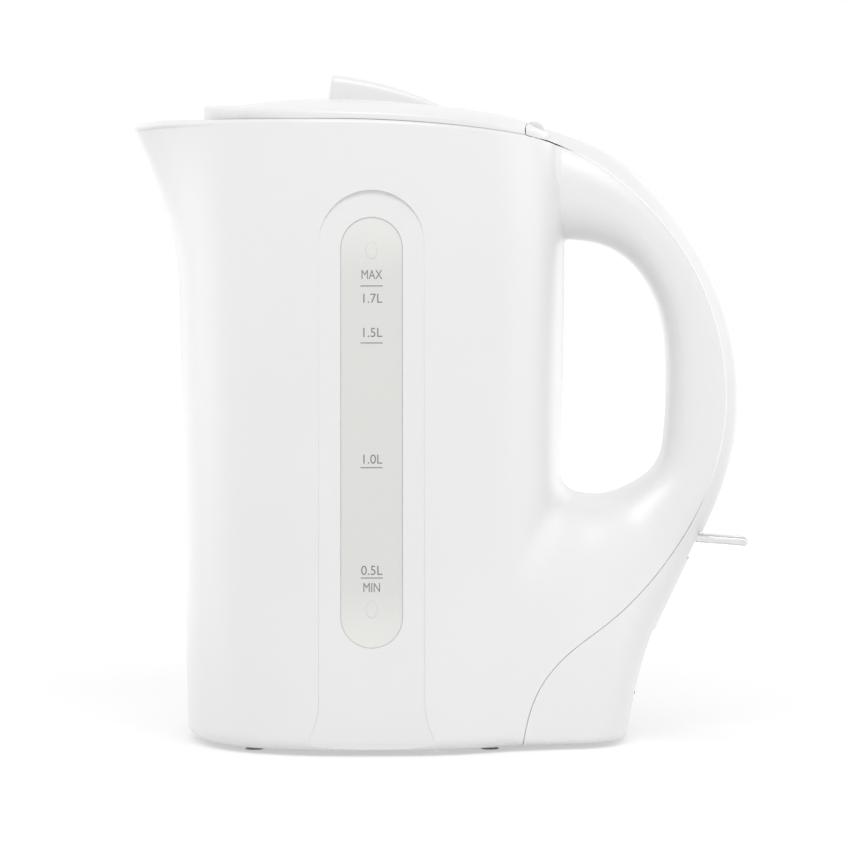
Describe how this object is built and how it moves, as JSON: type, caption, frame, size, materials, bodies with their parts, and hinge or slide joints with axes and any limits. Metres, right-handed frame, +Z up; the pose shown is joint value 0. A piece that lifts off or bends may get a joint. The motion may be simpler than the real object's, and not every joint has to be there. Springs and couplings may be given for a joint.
{
  "type": "electric kettle",
  "caption": "Corded electric jug kettle with spout, hinged lid with thumb tab, hollow D-handle, water gauges on both sides, rocker switch and rear power inlet.",
  "frame": {"origin": "middle of the footprint's box, on the surface that the kettle stands on", "axes": "+Z up; the spout points to -X and the handle to +X; the water gauges face -Y and +Y"},
  "size_m": [0.2232, 0.1268, 0.2406],
  "materials": {
    "white_plastic": "glossy moulded white polypropylene",
    "inner_plastic": "satin moulded off-white plastic",
    "clear_plastic": "translucent clear plastic",
    "silicone": "satin silicone",
    "steel": "plain stainless steel",
    "brass": "plain brass",
    "control_plastic": "black heat-resisting plastic",
    "rubber": "matt rubber",
    "lamp_glass": "neon lamp capsule"
  },
  "bodies": {
    "jug": {"jug_body": "white_plastic", "rear_cover": "white_plastic", "base_cover": "inner_plastic", "gauge_window_near": "clear_plastic", "gauge_window_far": "clear_plastic", "gauge_gasket_near": "silicone", "gauge_gasket_far": "silicone", "element_gasket": "silicone", "steam_tube": "silicone", "lid_hinge_pin": "steel", "base_screw_1": "steel", "base_screw_2": "steel", "base_screw_3": "steel", "element_tube": "steel", "control_screw_1": "steel", "control_screw_2": "steel", "toggle_spring": "steel", "dry_boil_bimetal": "steel", "steam_bimetal": "steel", "lever_pin": "steel", "element_head": "brass", "pin_live": "brass", "pin_neutral": "brass", "pin_earth": "brass", "contact_spring_live": "brass", "contact_spring_neutral": "brass", "control_housing": "control_plastic", "control_cover": "control_plastic", "foot_1": "rubber", "foot_2": "rubber", "foot_3": "rubber", "foot_4": "rubber", "indicator_lamp": "lamp_glass"},
    "lid": {"lid_shell": "white_plastic", "lid_baffle": "inner_plastic"},
    "filter": {"filter_frame": "inner_plastic", "filter_mesh": "steel"},
    "switch": {"switch_lever": "clear_plastic"},
    "carriage": {"contact_carriage": "control_plastic"}
  },
  "joints": [
    {"name": "lid_hinge", "type": "hinge", "parent": "jug", "child": "lid", "pos_m": [0.03313, 0, 0.2199], "axis": [0, 1, 0], "range_deg": [0, 80]},
    {"name": "filter_lift", "type": "slide", "parent": "jug", "child": "filter", "axis": [0, 0, 1], "range_m": [0, 0.045]},
    {"name": "switch_rocker", "type": "hinge", "parent": "jug", "child": "switch", "pos_m": [0.07463, 0, 0.0725], "axis": [0, 1, 0], "range_deg": [0, 10]},
    {"name": "carriage_slide", "type": "slide", "parent": "jug", "child": "carriage", "axis": [-1, 0, 0], "range_m": [0, 0.0024]}
  ],
  "couplings": [
    {"joint": "carriage_slide", "follows": "switch_rocker", "m_per_rad": 0.01318}
  ]
}
